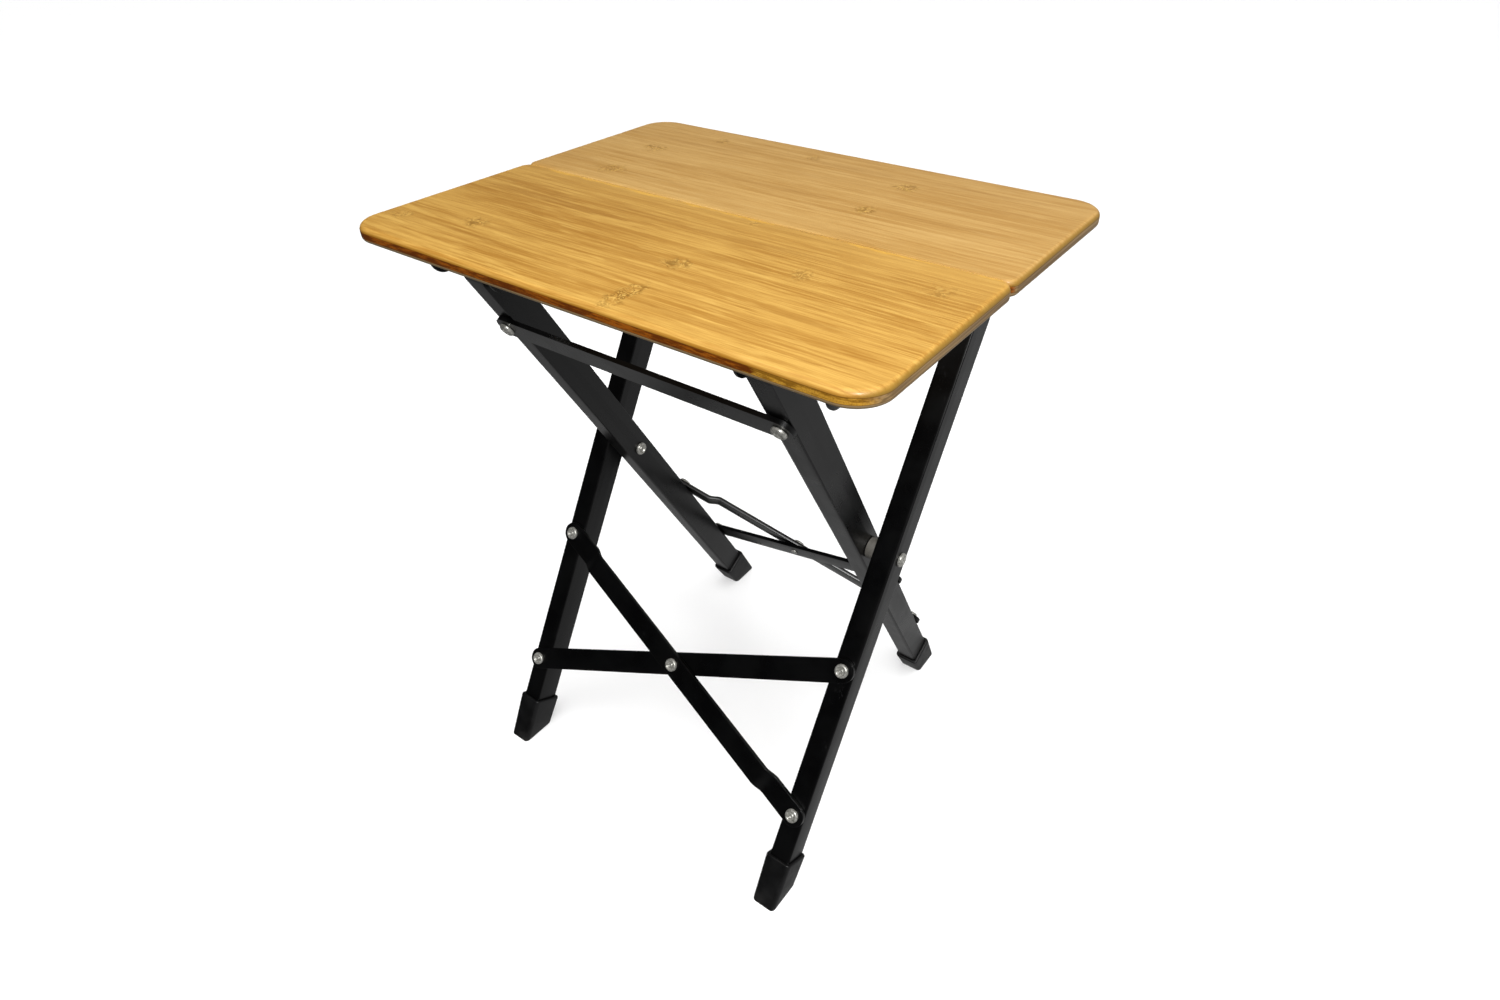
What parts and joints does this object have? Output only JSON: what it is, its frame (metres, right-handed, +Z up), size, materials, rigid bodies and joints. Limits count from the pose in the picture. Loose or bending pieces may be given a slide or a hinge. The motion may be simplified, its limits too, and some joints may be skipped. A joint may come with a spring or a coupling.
{
  "type": "folding side table",
  "caption": "Small folding camp side table: hinged bamboo planks on crossed black steel tube legs with riveted X braces and rubber feet.",
  "frame": {"origin": "on the floor under the middle of the open table top", "axes": "+X along the planks and their grain, -Y towards the front, +Z up"},
  "size_m": [0.35, 0.2864, 0.422],
  "materials": {
    "bamboo": "laminated bamboo board under clear gloss lacquer, fine grain along X",
    "powder_coat": "satin black powder coat on steel",
    "rubber": "matt black moulded rubber",
    "rivet_steel": "bright zinc-plated rivet",
    "hinge_steel": "zinc-plated pressed steel",
    "spacer_plastic": "grey-beige nylon"
  },
  "bodies": {
    "outer_legs": {"left_pivot_outer_rivet": "rivet_steel", "left_pivot_spacer": "spacer_plastic", "outer_brace_centre_rivet": "rivet_steel", "outer_brace_left_high_rivet": "rivet_steel", "outer_brace_left_low_rivet": "rivet_steel", "outer_brace_right_high_rivet": "rivet_steel", "outer_brace_right_low_rivet": "rivet_steel", "outer_joggled_strip": "powder_coat", "outer_left_foot": "rubber", "outer_left_leg": "powder_coat", "outer_right_foot": "rubber", "outer_right_leg": "powder_coat", "outer_straight_strip": "powder_coat", "right_pivot_outer_rivet": "rivet_steel", "right_pivot_spacer": "spacer_plastic"},
    "back_top": {"back_left_bracket": "powder_coat", "back_left_inner_spacer": "spacer_plastic", "back_left_outer_spacer": "spacer_plastic", "back_left_pin": "rivet_steel", "back_plank": "bamboo", "back_right_bracket": "powder_coat", "back_right_inner_spacer": "spacer_plastic", "back_right_outer_spacer": "spacer_plastic", "back_right_pin": "rivet_steel", "left_hinge_back_leaf": "hinge_steel", "left_hinge_pin": "hinge_steel", "right_hinge_back_leaf": "hinge_steel", "right_hinge_pin": "hinge_steel"},
    "front_top": {"front_left_bracket": "powder_coat", "front_left_inner_spacer": "spacer_plastic", "front_left_outer_spacer": "spacer_plastic", "front_left_pin": "rivet_steel", "front_plank": "bamboo", "front_right_bracket": "powder_coat", "front_right_inner_spacer": "spacer_plastic", "front_right_outer_spacer": "spacer_plastic", "front_right_pin": "rivet_steel", "left_hinge_front_leaf": "hinge_steel", "right_hinge_front_leaf": "hinge_steel"},
    "inner_legs": {"cross_bar": "powder_coat", "cross_bar_left_rivet": "rivet_steel", "cross_bar_right_rivet": "rivet_steel", "inner_brace_centre_rivet": "rivet_steel", "inner_brace_left_high_rivet": "rivet_steel", "inner_brace_left_low_rivet": "rivet_steel", "inner_brace_right_high_rivet": "rivet_steel", "inner_brace_right_low_rivet": "rivet_steel", "inner_joggled_strip": "powder_coat", "inner_left_foot": "rubber", "inner_left_leg": "powder_coat", "inner_right_foot": "rubber", "inner_right_leg": "powder_coat", "inner_straight_strip": "powder_coat", "left_pivot_inner_rivet": "rivet_steel", "right_pivot_inner_rivet": "rivet_steel"}
  },
  "joints": [
    {"name": "back_plank_fold", "type": "hinge", "parent": "outer_legs", "child": "back_top", "pos_m": [0, 0.10378, 0.3994], "axis": [-1, 0, 0], "range_deg": [0, 105.4]},
    {"name": "seam_fold", "type": "hinge", "parent": "back_top", "child": "front_top", "pos_m": [0, 0, 0.4102], "axis": [1, 0, 0], "range_deg": [0, 156.23]},
    {"name": "inner_legs_fold", "type": "hinge", "parent": "front_top", "child": "inner_legs", "pos_m": [0, -0.10378, 0.3994], "axis": [-1, 0, 0], "range_deg": [0, 105.4]}
  ],
  "couplings": [
    {"joint": "seam_fold", "follows": "back_plank_fold", "ratio": 1.4822},
    {"joint": "inner_legs_fold", "follows": "back_plank_fold", "ratio": 1}
  ]
}
